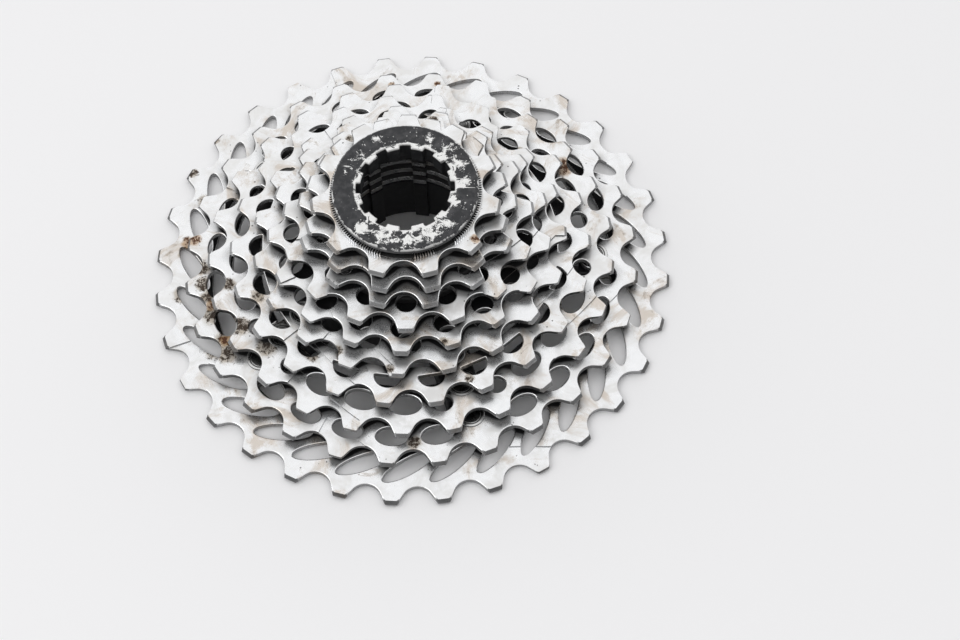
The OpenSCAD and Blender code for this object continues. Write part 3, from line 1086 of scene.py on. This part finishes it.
# Where rust and caked dirt lie, as (angle, radius, reach) on each sprocket's face
RUST = {11: ((321, 21.0, 2.6),), 13: ((150, 24, 2.2),),
        25: ((31, 46, 5.5), (214.5, 41.3, 3.2)),
        28: ((27, 47.5, 4.0), (172, 55.5, 3.4), (149, 50, 3.6), (95, 53.4, 1.8), (82, 53.5, 1.8),
             (193, 51.5, 2.8), (205, 51.2, 3.0)),
        32: ((171, 57.8, 3.4), (175, 57.9, 2.8), (190, 63.6, 2.6))}
GRIME = {32: ((204, 53.5, 6.0), (198, 56, 5.0), (192, 53, 4.5), (186, 58.5, 4.5), (179, 53.5, 4.5),
              (174, 58, 4.0), (158, 57.5, 3.6), (191, 64, 3.6), (152, 64.2, 2.6), (142, 65, 2.2)),
         28: ((205, 51, 6.0), (209, 52.5, 5.0), (198, 47, 4.5), (196, 51.5, 5.5), (190, 51.5, 4.5),
              (186, 52.5, 4.5), (181, 52.5, 4.0), (270, 51, 3.6)),
         25: ((205, 46.5, 5.0), (216, 44, 5.0), (190, 46, 3.6), (33, 43, 4.0)),
         22: ((43, 38.8, 2.2), (200, 40, 3.5), (232, 39, 3.0), (290, 40.5, 2.4)),
         19: ((262, 37, 2.4), (240, 36, 3.0)), 17: ((284, 33, 2.2),),
         15: ((110.5, 28.2, 2.6), (121, 27.8, 2.4), (77.5, 29.8, 2.6), (64, 28.6, 2.6)),
         12: ((318, 22, 2.4),)}


def face_height(place):
    """The front of the sprocket at a place in the stack."""
    return BASE + place * LAYER + PLATE


for (teeth, phase, place, body, gates), smaller in zip(SPROCKETS, SPROCKETS[1:] + [(None, 0)]):
    obj = make_sprocket(teeth, phase, place, gates)
    rust, grime = ([((*polar(r, a), face_height(place)), reach)
                    for a, r, reach in table.get(teeth, ())] for table in (RUST, GRIME))
    # Painted shade on the backs of all sprockets but the largest
    underside_shade = 0.0 if teeth == 32 else 0.97
    steel = plated_steel(teeth, smaller[0], smaller[1], underside_shade, rust, grime)
    give(obj, steel, body, f"sprocket_{teeth}t")

spacer_plastic = moulded_plastic("spacer_plastic")
rivet_steel = turned_steel("rivet_steel")
spider_alloy = anodised("spider_alloy")
lockring_alloy = worn_anodised("lockring_alloy")

give(spider_object(), spider_alloy, "cluster", "spider")
for node, body, drilled in (("spacer_13_15", "spacer", False), ("spacer_15_17", "cluster", True),
                            ("spacer_17_19", "cluster", True)):
    give(spacer_object(node + "_ring", node, drilled), spacer_plastic, body, node)
for node, at, head_r, place in (("outer_rivets", OUTER_RIVET_AT, RIVET_HEAD_R, 1),
                                ("middle_rivets", MIDDLE_RIVET_AT, RIVET_HEAD_R, 2),
                                ("inner_rivets", INNER_RIVET_AT, INNER_TAB_R - 0.2, 3)):
    rivets = rivet_set(node + "_turned", at, head_r, face_height(place))
    steel = turned_steel(node + "_steel", face_height(place) + RIVET_RISE)
    give(rivets, steel, "cluster", node)
give(washer_object(), rivet_steel, "washer", "lock_washer")
give(lockring_object(), lockring_alloy, "lockring", "lockring")
finish_with(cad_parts["long_pins"], rivet_steel)


# ---------------------------------------------------------------- stage, light, camera

def make_floor():
    """A pale floor, a hair below the object so that the two faces don't fight."""
    bm = bmesh.new()
    bmesh.ops.create_grid(bm, x_segments=8, y_segments=8, size=2.5)
    mesh = bpy.data.meshes.new("studio_floor")
    bm.to_mesh(mesh)
    bm.free()
    obj = link_new("studio_floor", mesh)
    obj.location.z = -0.2 * MM
    obj.data.materials.append(studio_floor("studio_floor"))


def make_world():
    """A white room that is brightest above and behind the object and dims towards the camera."""
    world = bpy.data.worlds.new("studio")
    world.use_nodes = True
    bpy.context.scene.world = world
    tree = world.node_tree
    tree.nodes.clear()
    out = tree.nodes.new("ShaderNodeOutputWorld")
    back = tree.nodes.new("ShaderNodeBackground")
    coords = tree.nodes.new("ShaderNodeTexCoord")
    along = tree.nodes.new("ShaderNodeVectorMath")
    along.operation = "DOT_PRODUCT"
    along.inputs[1].default_value = (-0.1, 0.7, 0.7)
    reach = tree.nodes.new("ShaderNodeMapRange")
    reach.interpolation_type = "SMOOTHSTEP"
    tree.links.new(coords.outputs["Generated"], along.inputs[0])
    tree.links.new(along.outputs["Value"], reach.inputs["Value"])
    reach.inputs["From Min"].default_value = -0.3
    reach.inputs["From Max"].default_value = 0.6
    reach.inputs["To Min"].default_value = 0.22
    reach.inputs["To Max"].default_value = 1.02
    tree.links.new(reach.outputs[0], back.inputs["Strength"])
    back.inputs["Color"].default_value = (1.0, 1.0, 1.0, 1.0)
    tree.links.new(back.outputs[0], out.inputs[0])


def make_light(name, place, size, power, target):
    data = bpy.data.lights.new(name, "AREA")
    data.shape = "RECTANGLE"
    data.size, data.size_y = size
    data.energy = power
    obj = link_new(name, data)
    obj.location = place
    direction = Vector(target) - Vector(place)
    obj.rotation_euler = direction.to_track_quat("-Z", "Y").to_euler()


def make_camera():
    """The view from the front, high above the object and rolled a little."""
    elevation = math.radians(61.81)
    roll = math.radians(1.783)
    distance, right, above = 544.9, 16.82, -14.04
    forward = Vector((0, math.cos(elevation), -math.sin(elevation)))
    side = Vector((1, 0, 0))
    up = Vector((0, math.sin(elevation), math.cos(elevation)))
    place = -forward * distance + side * right + up * above + Vector((0, 0, PLATE))
    x_axis = side * math.cos(roll) - up * math.sin(roll)
    y_axis = side * math.sin(roll) + up * math.cos(roll)
    data = bpy.data.cameras.new("camera")
    data.sensor_width = 36
    data.lens = 80.44
    data.clip_start = 0.01
    obj = link_new("camera", data)
    rotation = Matrix((x_axis, y_axis, -forward)).transposed()
    obj.matrix_world = Matrix.Translation(place * MM) @ rotation.to_4x4()
    bpy.context.scene.camera = obj


make_floor()
make_world()
make_light("softbox_left", (-1.0, -0.3, 1.2), (1.0, 1.0), 4, (0, 0, 0.02))
make_camera()
bpy.context.scene.view_settings.view_transform = "Standard"
